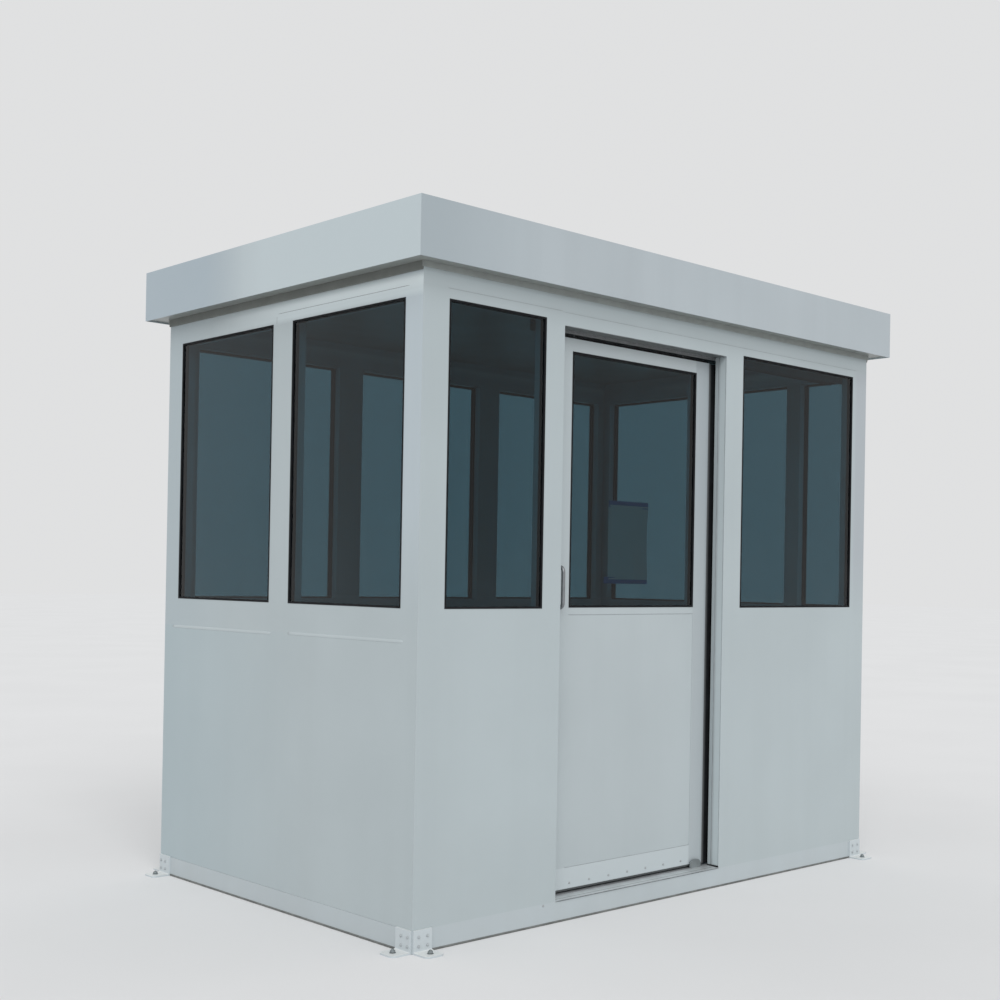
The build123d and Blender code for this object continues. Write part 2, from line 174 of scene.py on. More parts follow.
def paint_over(finish, colour, share):
    """Another colour over the paint that is there, where the share is high."""
    tree = finish.node_tree
    socket = tree.nodes["Principled BSDF"].inputs["Base Color"]
    painted = socket.links[0].from_socket
    tree.links.new(blend_colours(tree, share, painted, colour), socket)


def repaint(finish, colour, *limits):
    """Another colour over part of a piece. Each limit is an axis, a start and a full place."""
    tree = finish.node_tree
    place = tree.nodes["Texture Coordinate"].outputs["Object"]
    share = None
    for axis, start, full in limits:
        step = spread(tree, along_axis(tree, place, axis), 0.0, 1.0, start, full)
        share = multiply(tree, share, step) if share else step
    paint_over(finish, colour, share)


wall_colour = (0.412, 0.468, 0.486)
# Painted light: a paler band right under the roof, where the overhang shades the wall.
lit_band_under_roof = (("Z", 2.162, 2.198), ("Z", 2.214, 2.202))


def wall_coat(name):
    """The walls' enamel with a paler band right under the roof: painted light over the overhang's
    shade.
    """
    finish = satin_paint(name, wall_colour)
    repaint(finish, (0.500, 0.568, 0.590), *lit_band_under_roof)
    return finish


wall_enamel = wall_coat("wall_enamel")
put_finish(wall_enamel, "right_lower_wall", "rear_lower_wall", "front_lower_wall_left",
           "front_lower_wall_right", "rear_window_frame", "front_window_frame_left",
           "door_post_left")
end_wall_enamel = wall_coat("end_wall_enamel")
# Painted shade: the end wall's panels grow darker toward the rear.
shaded_toward_rear = ("Y", -0.20, 1.40)
repaint(end_wall_enamel, (0.350, 0.436, 0.468), shaded_toward_rear)
put_finish(end_wall_enamel, "left_lower_wall")
corner_enamel = wall_coat("corner_enamel")
# Painted shade: the front frame's right corner post is darker.
shaded_right_corner = (("X", 1.17, 1.20), ("Z", 1.05, 1.35), ("Z", 2.17, 2.13))
repaint(corner_enamel, (0.382, 0.420, 0.448), *shaded_right_corner)
put_finish(corner_enamel, "front_window_frame_right")

end_frame_enamel = satin_paint("end_frame_enamel", wall_colour)
# Painted light and shade on the end frames: the rear post darker, the front post paler, and two
# paler bands along the head rail under the roof's shade.
shaded_rear_post = ("Y", 0.30, 0.72)
lit_front_post = (("Y", -0.62, -0.70), ("Z", 1.05, 1.45))
lit_head_rail = (("Z", 2.124, 2.146), ("Z", 2.206, 2.184), ("Y", 0.50, -0.05))
lit_head_rail_top = (("Z", 2.152, 2.178), ("Z", 2.206, 2.186), ("Y", 0.40, -0.25))
repaint(end_frame_enamel, (0.386, 0.449, 0.476), shaded_rear_post)
repaint(end_frame_enamel, (0.443, 0.507, 0.543), *lit_front_post)
repaint(end_frame_enamel, (0.570, 0.645, 0.668), *lit_head_rail)
repaint(end_frame_enamel, (0.715, 0.795, 0.815), *lit_head_rail_top)
put_finish(end_frame_enamel, "left_window_frame", "right_window_frame")


# SEALED JOINTS OF THE WALLS
# Where a window frame stands on the panel below, a thin bead of painted sealant closes the
# joint; its enamel is a shade paler than the wall's, a painted highlight along the bead. Over
# the windows the channel's lap shows as a fine dark line in the paint.

wall_face_x = 1.270
wall_face_y = 0.813


def only(piece):
    """Selects one piece and nothing else, and makes it the active one."""
    bpy.ops.object.select_all(action="DESELECT")
    piece.select_set(True)
    bpy.context.view_layer.objects.active = piece


def join_pieces(name, pieces):
    """Makes one piece of several."""
    bpy.ops.object.select_all(action="DESELECT")
    for piece in pieces:
        piece.select_set(True)
    bpy.context.view_layer.objects.active = pieces[0]
    bpy.ops.object.join()
    joined = bpy.context.object
    joined.name = name
    return joined


def dress(piece, body, finish):
    """Gives a new piece its finish, the body it rides on and the slot it belongs to."""
    piece.data.materials.clear()
    piece.data.materials.append(finish)
    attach(piece, body)


def lay_bead(name, start, end, width, proud):
    """A tooled bead of sealant between two points on a wall, half sunk in the joint."""
    run = Vector(end) - Vector(start)
    middle = (Vector(start) + Vector(end)) / 2
    taper_start = 0.48
    taper = 0.4
    bpy.ops.object.select_all(action="DESELECT")
    bpy.ops.mesh.primitive_cylinder_add(vertices=12, radius=0.5, depth=1.0, location=(0, 0, 0))
    bead = bpy.context.object
    bead.name = name
    bpy.ops.object.mode_set(mode="EDIT")
    bpy.ops.mesh.select_all(action="SELECT")
    bpy.ops.mesh.bisect(plane_co=(0, 0, taper_start), plane_no=(0, 0, 1))
    bpy.ops.mesh.select_all(action="SELECT")
    bpy.ops.mesh.bisect(plane_co=(0, 0, -taper_start), plane_no=(0, 0, 1))
    bpy.ops.object.mode_set(mode="OBJECT")
    for corner in bead.data.vertices:
        if abs(corner.co.z) > taper_start + 0.01:
            corner.co.x *= taper
            corner.co.y *= taper
    only(bead)
    bpy.ops.object.shade_smooth_by_angle(angle=math.radians(50))
    if abs(run.z) > max(abs(run.x), abs(run.y)):
        turn = Matrix.Identity(4)
        size = (2 * proud, width, run.length)
    elif abs(run.y) > abs(run.x):
        turn = Matrix.Rotation(math.radians(90), 4, "X")
        size = (2 * proud, run.length, width)
    else:
        turn = Matrix.Rotation(math.radians(90), 4, "Y")
        size = (run.length, 2 * proud, width)
    bead.data.transform(Matrix.Translation(middle) @ Matrix.Diagonal((*size, 1)) @ turn)
    return bead


bead_height = 1.003
far_bead_height = 0.999
bead_width = 0.0115
bead_proud = 0.0011
end_panes = ((-0.740, -0.071), (0.040, 0.752))
rear_panes = ((-1.168, -0.476), (-0.346, 0.346), (0.476, 1.168))
bead_spans = {
    "left_wall_beads": [((-wall_face_x, near, height), (-wall_face_x, far, height))
                        for (near, far), height in zip(end_panes, (bead_height, far_bead_height))],
    "right_wall_beads": [((wall_face_x, near, bead_height), (wall_face_x, far, bead_height))
                         for near, far in end_panes],
    "rear_wall_beads": [((near, wall_face_y, bead_height), (far, wall_face_y, bead_height))
                        for near, far in rear_panes],
}
# Painted highlight: the bead's enamel is a shade paler than the wall's.
bead_highlight_enamel = satin_paint("bead_highlight_enamel", (0.446, 0.502, 0.520), dust=0.0, streaks=0.1)
for bead_name, spans in bead_spans.items():
    beads = [lay_bead(bead_name, start, end, bead_width, bead_proud) for start, end in spans]
    dress(join_pieces(bead_name, beads), "booth", bead_highlight_enamel)


def fine_sealant(name, colour, mottle=1.5):
    """Cured grey sealant, matt, with dust caught in it that pales it here and there."""
    finish, tree, shader, place = start_finish(name)
    dust = spread(tree, add_noise(tree, place, 24.0, 5.0), 0.0, 1.0)
    tone = blend_colours(tree, dust, colour, shade(colour, mottle))
    tree.links.new(tone, shader.inputs["Base Color"])
    shader.inputs["Roughness"].default_value = 0.75
    press_bumps(tree, shader, (add_noise(tree, place, 260.0), 0.0002))
    return finish


lap_sealant = fine_sealant("lap_sealant", (0.285, 0.312, 0.328), mottle=1.2)
lap_height = 2.163
low_lap = lap_height - 0.003
high_lap = lap_height + 0.004
lap_width = 0.0020
lap_proud = 0.0003
lap_spans = {
    "front_lap_lines": [((-1.167, -wall_face_y, lap_height), (-0.640, -wall_face_y, lap_height)),
                        ((-0.640, -wall_face_y, low_lap), (1.190, -wall_face_y, low_lap))],
    "left_lap_lines": [((-wall_face_x, -0.742, lap_height), (-wall_face_x, 0.028, high_lap)),
                       ((-wall_face_x, 0.036, 2.130), (-wall_face_x, 0.036, 2.156))],
    "right_lap_lines": [((wall_face_x, -0.742, lap_height), (wall_face_x, 0.742, lap_height))],
    "rear_lap_lines": [((-1.190, wall_face_y, lap_height), (1.190, wall_face_y, lap_height))],
}
for lap_name, spans in lap_spans.items():
    laps = [lay_bead(lap_name, start, end, lap_width, lap_proud) for start, end in spans]
    dress(join_pieces(lap_name, laps), "booth", lap_sealant)


# SEAL AND PAINTED SHADOW AT THE GROUND
# A bead of sealant runs along the foot of the base rails between the brackets and
# fills the rounded lower edge of the tubes. Its dark tone is painted shadow, the contact
# shadow where the rails meet the ground.

# Painted shadow: the bead's dark tone stands for the contact shadow at the foot of the rails.
foot_shadow_sealant = fine_sealant("foot_shadow_sealant", (0.115, 0.122, 0.118))
seal_height = 0.0039
seal_width = 0.0074
seal_proud = 0.0024
seal_end_x = 1.245
seal_end_y = 0.770
foot_shadow_seals = []
for side in (-1, 1):
    across = side * (wall_face_y + 0.0002)
    foot_shadow_seals.append(lay_bead("foot_shadow_seals", (-seal_end_x, across, seal_height),
                               (seal_end_x, across, seal_height), seal_width, seal_proud))
    along = side * (wall_face_x + 0.0002)
    foot_shadow_seals.append(lay_bead("foot_shadow_seals", (along, -seal_end_y, seal_height),
                               (along, seal_end_y, seal_height), seal_width, seal_proud))
dress(join_pieces("foot_shadow_seals", foot_shadow_seals), "booth", foot_shadow_sealant)


# SEALANT UNDER THE ROOF
# A wide grey-green strip of sealing mastic, pressed in from outside, closes the joint
# between the wall tops and the roof's underside all the way round. Its dark tone is partly
# painted shade under the roof's overhang, and the strips on the ends are painted darker
# still, as painted shade.

soffit_height = 2.236


def add_block(name, low, high):
    """A block from its lowest to its highest corner, with its place in its mesh."""
    bpy.ops.object.select_all(action="DESELECT")
    middle = [(near + far) / 2 for near, far in zip(low, high)]
    bpy.ops.mesh.primitive_cube_add(size=1, location=middle)
    block = bpy.context.object
    block.name = name
    block.scale = [far - near for near, far in zip(low, high)]
    bpy.ops.object.transform_apply(location=True, rotation=True, scale=True)
    return block


def press_strip(name, low, high):
    """A strip of mastic against the wall, its lower edges tooled round."""
    strip = add_block(name, low, high)
    for corner in strip.data.vertices:
        corner.select = False
    for edge in strip.data.edges:
        ends = [strip.data.vertices[corner].co for corner in edge.vertices]
        edge.select = all(end.z < low[2] + 0.001 for end in ends)
    for face in strip.data.polygons:
        face.select = False
    bpy.ops.object.mode_set(mode="EDIT")
    bpy.ops.mesh.select_mode(type="EDGE")
    bpy.ops.mesh.bevel(offset=0.0025, segments=3, affect="EDGES")
    bpy.ops.object.mode_set(mode="OBJECT")
    bpy.ops.object.shade_smooth_by_angle(angle=math.radians(35))
    return strip


long_strip_foot = soffit_height - 0.020
end_strip_foot = soffit_height - 0.029
strip_top = soffit_height - 0.0002
strip_proud = 0.006
strip_face_x = wall_face_x + strip_proud
strip_face_y = wall_face_y + strip_proud
long_strips = [
    press_strip("long_roof_strips", (-strip_face_x, -strip_face_y, long_strip_foot),
                (strip_face_x, -wall_face_y, strip_top)),
    press_strip("long_roof_strips", (-strip_face_x, wall_face_y, long_strip_foot),
                (strip_face_x, strip_face_y, strip_top)),
]
# Painted shade: the mastic's dark tone stands partly for the shade under the roof's edge.
shaded_long_mastic = fine_sealant("shaded_long_mastic", (0.262, 0.282, 0.272), mottle=1.14)
dress(join_pieces("long_roof_strips", long_strips), "booth", shaded_long_mastic)
end_strips = [
    press_strip("end_roof_strips", (-strip_face_x, -wall_face_y, end_strip_foot),
                (-wall_face_x, wall_face_y, strip_top)),
    press_strip("end_roof_strips", (wall_face_x, -wall_face_y, end_strip_foot),
                (strip_face_x, wall_face_y, strip_top)),
]
# Painted shade: the end strips are darker still.
shaded_end_mastic = fine_sealant("shaded_end_mastic", (0.148, 0.158, 0.148), mottle=1.14)
dress(join_pieces("end_roof_strips", end_strips), "booth", shaded_end_mastic)


# WINDOWS
# Fixed panes of float glass with a blue-green sun tint, held in black rubber gaskets.
# The glass is darker than it is coloured, and a little dust lies along its lower edge.

def black_rubber(name, colour=(0.0055, 0.0060, 0.0072)):
    """Extruded rubber, matt black, slightly bloomed."""
    finish, tree, shader, place = start_finish(name)
    bloom = spread(tree, add_noise(tree, place, 16.0, 5.0), 0.0, 1.0)
    tone = blend_colours(tree, bloom, colour, shade(colour, 1.9))
    tree.links.new(tone, shader.inputs["Base Color"])
    sheen = spread(tree, add_noise(tree, place, 40.0), 0.62, 0.82)
    tree.links.new(sheen, shader.inputs["Roughness"])
    shader.inputs["Specular IOR Level"].default_value = 0.18
    press_bumps(tree, shader, (add_noise(tree, place, 420.0, 2.0), 0.00008))
    return finish


gasket_rubber = black_rubber("gasket_rubber")
put_finish(gasket_rubber, "left_window_gaskets", "right_window_gaskets", "rear_window_gaskets",
           "front_window_gaskets", "door_glass_gasket")


def sun_glass(name, tint, dust_from, dust_to):
    """Tinted float glass: each face dims what passes and mirrors a little of the room."""
    finish, tree, shader, place = start_finish(name)
    tree.nodes.remove(shader)
    clear = tree.nodes.new("ShaderNodeBsdfTransparent")
    clear.inputs["Color"].default_value = (*tint, 1)
    mirror = tree.nodes.new("ShaderNodeBsdfGlossy")
    mirror.inputs["Roughness"].default_value = 0.004
    fresnel = tree.nodes.new("ShaderNodeFresnel")
    fresnel.inputs["IOR"].default_value = 1.38
    side = tree.nodes.new("ShaderNodeNewGeometry")
    outer = spread(tree, side.outputs["Backfacing"], 1.0, 0.0, 0.0, 1.0)
    glass = tree.nodes.new("ShaderNodeMixShader")
    tree.links.new(multiply(tree, fresnel.outputs["Fac"], outer), glass.inputs["Fac"])
    tree.links.new(clear.outputs["BSDF"], glass.inputs[1])
    tree.links.new(mirror.outputs["BSDF"], glass.inputs[2])
    film = tree.nodes.new("ShaderNodeBsdfDiffuse")
    film.inputs["Color"].default_value = (0.34, 0.34, 0.33, 1)
    low = spread(tree, along_axis(tree, place, "Z"), 1.0, 0.15, dust_from, dust_to)
    patches = spread(tree, add_noise(tree, place, 9.0, 6.0), 0.2, 1.0)
    dusty = spread(tree, multiply(tree, low, patches), 0.0, 0.018, 0.0, 1.0)
    dusted = tree.nodes.new("ShaderNodeMixShader")
    tree.links.new(multiply(tree, dusty, outer), dusted.inputs["Fac"])
    tree.links.new(glass.outputs["Shader"], dusted.inputs[1])
    tree.links.new(film.outputs["BSDF"], dusted.inputs[2])
    tree.links.new(dusted.outputs["Shader"], tree.nodes["Material Output"].inputs["Surface"])
    return finish


window_glass = sun_glass("window_glass", (0.420, 0.535, 0.572), dust_from=1.12, dust_to=1.45)
put_finish(window_glass, "left_window_glass", "right_window_glass", "rear_window_glass",
           "front_window_glass", "door_glass")


# ROOF
# The roof is a folded steel tray: soffit and ceiling in one grey-green sheet, painted darker as
# painted shade under the overhang, a deep plain fascia folded round it, its enamel carrying painted
# light and shade (darker at the long sides' left end and toward the rear of the ends, paler toward
# the front of the ends), and a low deck that sheds the rain.

fascia_enamel = satin_paint("fascia_enamel", (0.406, 0.453, 0.481), dust=0.0, streaks=0.5)
# Painted shade: the long fascia grows darker toward its left end.
shaded_left_end = ("X", -0.75, -1.28)
repaint(fascia_enamel, (0.342, 0.392, 0.420), shaded_left_end)
put_finish(fascia_enamel, "roof_fascia_long")
end_fascia_enamel = satin_paint("end_fascia_enamel", (0.408, 0.462, 0.487), dust=0.0, streaks=0.5)
# Painted light and shade on the end fascias: paler toward the front, darker toward the rear.
lit_front_part = ("Y", 0.42, 0.02)
shaded_rear_part = ("Y", 0.15, 0.42)
repaint(end_fascia_enamel, (0.486, 0.554, 0.580), lit_front_part)
repaint(end_fascia_enamel, (0.364, 0.431, 0.476), shaded_rear_part)
put_finish(end_fascia_enamel, "roof_fascia_ends")
# Painted shade: the soffit and ceiling sheet is painted darker for the shade under the overhang.
shaded_soffit_enamel = satin_paint("shaded_soffit_enamel", (0.272, 0.294, 0.282), dust=0.0)
put_finish(shaded_soffit_enamel, "roof_pan")


def weathered_deck(name, colour):
    """Painted roof sheet with dust that dried where rain stood."""
    finish, tree, shader, place = start_finish(name)
    pools = spread(tree, add_noise(tree, place, 2.6, 7.0), 0.0, 0.13, 0.48, 0.70)
    cloud = spread(tree, add_noise(tree, place, 7.0, 5.0), 0.0, 1.0)
    tone = blend_colours(tree, cloud, shade(colour, 0.94), shade(colour, 1.04))
    tone = blend_colours(tree, pools, tone, (0.38, 0.37, 0.34))
    specks = spread(tree, add_noise(tree, place, 90.0, 4.0), 0.0, 0.16, 0.60, 0.80)
    tone = blend_colours(tree, specks, tone, (0.20, 0.19, 0.16))
    tree.links.new(tone, shader.inputs["Base Color"])
    tree.links.new(spread(tree, pools, 0.48, 0.60, 0.0, 0.13), shader.inputs["Roughness"])
    sway = add_noise(tree, place, 2.0, 1.0)
    grain = add_noise(tree, place, 300.0)
    press_bumps(tree, shader, (sway, 0.002), (grain, 0.0001))
    return finish


deck_enamel = weathered_deck("deck_enamel", (0.45, 0.49, 0.515))
put_finish(deck_enamel, "roof_deck")


# DOORWAY
# A sloped sill of bare aluminium lies below. The header hides a galvanised channel with the
# rollers' ledges; its faces that look down are painted dark, as painted shade. A small dark guide
# steadies the door's foot, and lines of grey sealant close the joints of the jamb. Dark lines along
# the sill's front edge and the header's foot and a black block at the jamb's foot are painted
# shadow, and the outer half of the right jamb is painted paler, as painted light.

def drawn_aluminium(name, colour, along, groove):
    """Mill-finish extrusion: fine draw lines, dulled by feet, dirt in the groove along it."""
    finish, tree, shader, place = start_finish(name)
    lines = add_noise(tree, place, 220.0, 4.0, along)
    wear = spread(tree, add_noise(tree, place, 18.0, 6.0), 0.0, 1.0)
    tone = blend_colours(tree, wear, shade(colour, 0.93), shade(colour, 1.05))
    depth = along_axis(tree, place, "Y")
    front_edge = spread(tree, depth, 0.0, 1.0, groove - 0.0022, groove - 0.0006)
    back_edge = spread(tree, depth, 1.0, 0.0, groove + 0.0006, groove + 0.0022)
    dirt = multiply(tree, front_edge, back_edge)
    tone = blend_colours(tree, dirt, tone, shade(colour, 0.42))
    tree.links.new(tone, shader.inputs["Base Color"])
    shader.inputs["Metallic"].default_value = 0.7
    tree.links.new(spread(tree, lines, 0.42, 0.56), shader.inputs["Roughness"])
    press_bumps(tree, shader, (lines, 0.00002))
    return finish


sill_aluminium = drawn_aluminium("sill_aluminium", (0.66, 0.69, 0.70),
                                 along=(0.006, 5, 5), groove=-0.796)
put_finish(sill_aluminium, "door_threshold")

post_enamel = wall_coat("door_post_enamel")
# Painted light: the outer half of the right jamb's reveal is paler.
lit_jamb_strip = (("Y", -0.779, -0.785), ("X", 0.2818, 0.2812))
repaint(post_enamel, (0.495, 0.560, 0.580), *lit_jamb_strip)
put_finish(post_enamel, "door_post_right")


def repaint_by_tilt(finish, colour, most, start, full):
    """Another colour on faces by their tilt, from -1 looking straight down to 1 straight up."""
    tree = finish.node_tree
    tilt = along_axis(tree, tree.nodes["Texture Coordinate"].outputs["Normal"], "Z")
    paint_over(finish, colour, spread(tree, tilt, 0.0, most, start, full))


header_enamel = wall_coat("header_enamel")
# Painted shade: the header's faces that look down are dark.
painted_underside_shade = (0.125, 0.136, 0.138)
repaint_by_tilt(header_enamel, painted_underside_shade, most=1.0, start=-0.5, full=-0.9)
put_finish(header_enamel, "door_header")


def zinc_coat(name, colour):
    """Galvanised sheet: frosted zinc flakes of a few millimetres, some brighter."""
    finish, tree, shader, place = start_finish(name)
    flakes = tree.nodes.new("ShaderNodeTexVoronoi")
    flakes.inputs["Scale"].default_value = 140.0
    tree.links.new(place, flakes.inputs["Vector"])
    grey = tree.nodes.new("ShaderNodeRGBToBW")
    tree.links.new(flakes.outputs["Color"], grey.inputs["Color"])
    tone = blend_colours(tree, grey.outputs["Val"], shade(colour, 0.80), shade(colour, 1.12))
    tree.links.new(tone, shader.inputs["Base Color"])
    shader.inputs["Metallic"].default_value = 0.75
    sheen = spread(tree, grey.outputs["Val"], 0.38, 0.58, 0.0, 1.0)
    tree.links.new(sheen, shader.inputs["Roughness"])
    press_bumps(tree, shader, (add_noise(tree, place, 200.0), 0.00005))
    return finish


track_zinc = zinc_coat("track_zinc", (0.225, 0.235, 0.242))
put_finish(track_zinc, "door_track_housing", "door_track_rails", "door_hangers")
guide_steel = fine_sealant("guide_steel", (0.150, 0.170, 0.175), mottle=1.3)
put_finish(guide_steel, "door_guide")

doorway_left = -0.6265
doorway_right = 0.2805
sill_face_y = -0.8150
sill_top = 0.0754
header_face_y = -0.8126
header_foot = 2.1132
seal_line_proud = 0.0008
# Painted shadow: dark lines along the sill's front edge and the header's foot stand for the shadow
# lines there.
shadow_line_paint = fine_sealant("shadow_line_paint", (0.150, 0.165, 0.172))
sill_shadow = lay_bead("sill_shadow_line", (doorway_left, sill_face_y, sill_top),
                     (doorway_right, sill_face_y, sill_top), 0.0036, seal_line_proud)
dress(sill_shadow, "booth", shadow_line_paint)
head_shadow = lay_bead("head_shadow_line", (doorway_left, header_face_y, header_foot),
                     (doorway_right, header_face_y, header_foot), 0.0026, seal_line_proud)
dress(head_shadow, "booth", shadow_line_paint)


def round_edges(piece, width):
    """Rounds a piece's sharp edges and smooths what is left."""
    only(piece)
    bevel = piece.modifiers.new("edges", "BEVEL")
    bevel.width = width
    bevel.segments = 2
    bevel.limit_method = "ANGLE"
    bevel.angle_limit = math.radians(30)
    bpy.ops.object.modifier_apply(modifier=bevel.name)
    bpy.ops.object.shade_smooth_by_angle(angle=math.radians(35))


# Painted shadow: a black block at the jamb's foot stands for the shadow in the gap there.
jamb_foot_shadow_block = add_block("jamb_foot_shadow_block", (0.2765, -0.8120, 0.0765), (0.2812, -0.7570, 0.0832))
round_edges(jamb_foot_shadow_block, 0.0012)
dress(jamb_foot_shadow_block, "booth", gasket_rubber)
jamb_face_x = 0.2808
jamb_foot = 0.084
jamb_head = 2.112
jamb_line_proud = 0.0006
jamb_lines = [
    lay_bead("jamb_lines", (jamb_face_x, depth, jamb_foot), (jamb_face_x, depth, jamb_head),
             width, jamb_line_proud)
    for depth, width in ((-0.7740, 0.0060), (-0.8095, 0.0026))
]
dress(join_pieces("jamb_lines", jamb_lines), "booth", lap_sealant)


# SLIDING DOOR
# The leaf is a steel frame with a flush lower panel and one tall pane. Rubber flaps seal its
# edges, a fine line of sealant closes the panel's top and foot, and screws hold the foot rail.
# Painted light and shade lie in the frame's enamel and the flaps: the foot rail paler, the closing
# stile and its edge darker, the flaps' lip and foot paler grey.

door_colour = (0.418, 0.469, 0.487)
door_enamel = satin_paint("door_enamel", door_colour, dust=0.0)
put_finish(door_enamel, "door_lower_panel")
frame_enamel = satin_paint("door_frame_enamel", door_colour, dust=0.0)
# Painted light and shade on the leaf's frame: the foot rail paler, the closing stile darker, darker
# still beside the pane, and darkest along its edge.
lit_foot_rail = ("Z", 0.1705, 0.1695)
shaded_right_stile = ("X", 0.166, 0.176)
beside_the_pane = ("Z", 1.15, 1.55)
shaded_edge_strip = ("X", 0.236, 0.250)
repaint(frame_enamel, (0.468, 0.520, 0.540), lit_foot_rail)
repaint(frame_enamel, (0.385, 0.428, 0.448), shaded_right_stile)
repaint(frame_enamel, (0.354, 0.396, 0.419), shaded_right_stile, beside_the_pane)
repaint(frame_enamel, (0.300, 0.336, 0.355), shaded_edge_strip)
put_finish(frame_enamel, "door_frame")
flap_rubber = black_rubber("flap_rubber", (0.0040, 0.0044, 0.0052))
# Painted light: the flap is paler grey at its lip by the leaf and at its foot.
lit_flap_lip = (("X", 0.269, 0.249), ("X", 0.2480, 0.2485))
lit_foot_flap = (("Z", 0.20, 0.19), ("X", 0.2480, 0.2475))
repaint(flap_rubber, (0.165, 0.175, 0.180), *lit_flap_lip)
repaint(flap_rubber, (0.095, 0.102, 0.106), *lit_foot_flap)
put_finish(flap_rubber, "door_edge_seals")

leaf_face_y = -0.749
panel_left = -0.522
panel_right = 0.172
panel_bottom = 0.170
panel_top = 1.087
seam_y = leaf_face_y + 0.0008
panel_lines = [
    lay_bead("panel_seal_lines", (panel_left, seam_y, seam_height),
             (panel_right, seam_y, seam_height), 0.0022, 0.0009)
    for seam_height in (panel_top - 0.001, panel_bottom + 0.001)
]
dress(join_pieces("panel_seal_lines", panel_lines), "door", lap_sealant)


def turn_to(direction):
    """The turn that brings a thing's own up to face a direction."""
    return Vector(direction).to_track_quat("Z", "Y").to_matrix().to_4x4()


def set_out(pattern, name, spots, direction):
    """Copies a small piece to its spots, facing one way, and joins the copies."""
    copies = []
    for spot in spots:
        twin = pattern.copy()
        twin.data = pattern.data.copy()
        bpy.context.scene.collection.objects.link(twin)
        twin.data.transform(Matrix.Translation(spot) @ turn_to(direction))
        copies.append(twin)
    return join_pieces(name, copies)


def drop(pattern):
    """Takes away a pattern that has been copied."""
    bpy.data.objects.remove(pattern)


def pick_top(piece):
    """Opens a piece for editing with only its top face picked."""
    only(piece)
    for face in piece.data.polygons:
        face.select = False
    for edge in piece.data.edges:
        edge.select = False
    for corner in piece.data.vertices:
        corner.select = False
    top = max(piece.data.polygons, key=lambda face: (round(face.center.z, 6), face.area))
    top.select = True
    bpy.ops.object.mode_set(mode="EDIT")
    bpy.ops.mesh.select_mode(type="FACE")


def make_pan_screw(radius, height):
    """A pan head screw: low domed head with a round drive recess."""
    bpy.ops.object.select_all(action="DESELECT")
    bpy.ops.mesh.primitive_cylinder_add(vertices=20, radius=radius, depth=height,
                                        location=(0, 0, height / 2))
    head = bpy.context.object
    bpy.ops.object.transform_apply(location=True)
    pick_top(head)
    bpy.ops.mesh.inset(thickness=radius * 0.12, depth=height * 0.35)
    bpy.ops.mesh.inset(thickness=radius * 0.20, depth=height * 0.20)
    bpy.ops.mesh.inset(thickness=radius * 0.28, depth=height * 0.06)
    bpy.ops.mesh.inset(thickness=radius * 0.02, depth=-height * 0.75)
    bpy.ops.object.mode_set(mode="OBJECT")
    bpy.ops.object.shade_smooth_by_angle(angle=math.radians(35))
    return head


def dull_zinc(name, colour, rusty, metal):
    """Zinc-plated fastener gone dull, with a trace of rust in its corners."""
    finish, tree, shader, place = start_finish(name)
    rust = spread(tree, add_noise(tree, place, 160.0, 5.0), 0.0, rusty, 0.56, 0.74)
    tone = blend_colours(tree, rust, colour, (0.16, 0.085, 0.045))
    tree.links.new(tone, shader.inputs["Base Color"])
    shader.inputs["Metallic"].default_value = metal
    sheen = spread(tree, add_noise(tree, place, 220.0), 0.42, 0.65)
    tree.links.new(sheen, shader.inputs["Roughness"])
    press_bumps(tree, shader, (add_noise(tree, place, 500.0), 0.00006))
    return finish


screw_zinc = dull_zinc("screw_zinc", (0.38, 0.40, 0.41), rusty=0.30, metal=0.2)
pan_screw = make_pan_screw(radius=0.0042, height=0.0014)
first_screw_x = -0.495
screw_pitch = 0.103
foot_spots = [(first_screw_x + screw_pitch * step, leaf_face_y, 0.113) for step in range(7)]
foot_screws = set_out(pan_screw, "foot_rail_screws", foot_spots, (0, -1, 0))
dress(foot_screws, "door", screw_zinc)
base_spot = (-0.6865, -wall_face_y, 0.069)
base_screw = set_out(pan_screw, "base_rail_screw", [base_spot], (0, -1, 0))
dress(base_screw, "booth", screw_zinc)
drop(pan_screw)


# PULL HANDLE
# A bow handle of round stainless bar stands on the leaf's face near its leading edge. It is
# brushed along its length and bolted through the stile.

def brushed_steel(name, colour, along):
    """Stainless steel with fine lines along the bar and hand smears."""
    finish, tree, shader, place = start_finish(name)
    lines = add_noise(tree, place, 90.0, 3.0, along)
    smears = spread(tree, add_noise(tree, place, 35.0, 4.0), 0.0, 0.35)
    tone = blend_colours(tree, smears, colour, shade(colour, 0.72))
    tree.links.new(tone, shader.inputs["Base Color"])
    shader.inputs["Metallic"].default_value = 0.85
    tree.links.new(spread(tree, lines, 0.36, 0.50), shader.inputs["Roughness"])
    press_bumps(tree, shader, (lines, 0.00003))
    return finish


handle_steel = brushed_steel("handle_steel", (0.255, 0.268, 0.280), along=(8, 8, 0.05))
put_finish(handle_steel, "door_pull_handle")


# SHEET OF PAPER BEHIND THE DOOR'S GLASS
# A plain blank sheet of letter paper is stuck to the inside of the pane with a strip of blue
# masking tape over its upper and its lower edge.

def sheet_paper(name, colour):
    """Uncoated paper that has curled and yellowed a little."""
    finish, tree, shader, place = start_finish(name)
    age = spread(tree, add_noise(tree, place, 9.0, 5.0), 0.0, 1.0)
    tone = blend_colours(tree, age, colour, shade(colour, 0.90))
    tree.links.new(tone, shader.inputs["Base Color"])
    shader.inputs["Roughness"].default_value = 0.85
    press_bumps(tree, shader, (add_noise(tree, place, 18.0, 2.0), 0.0006))
    return finish


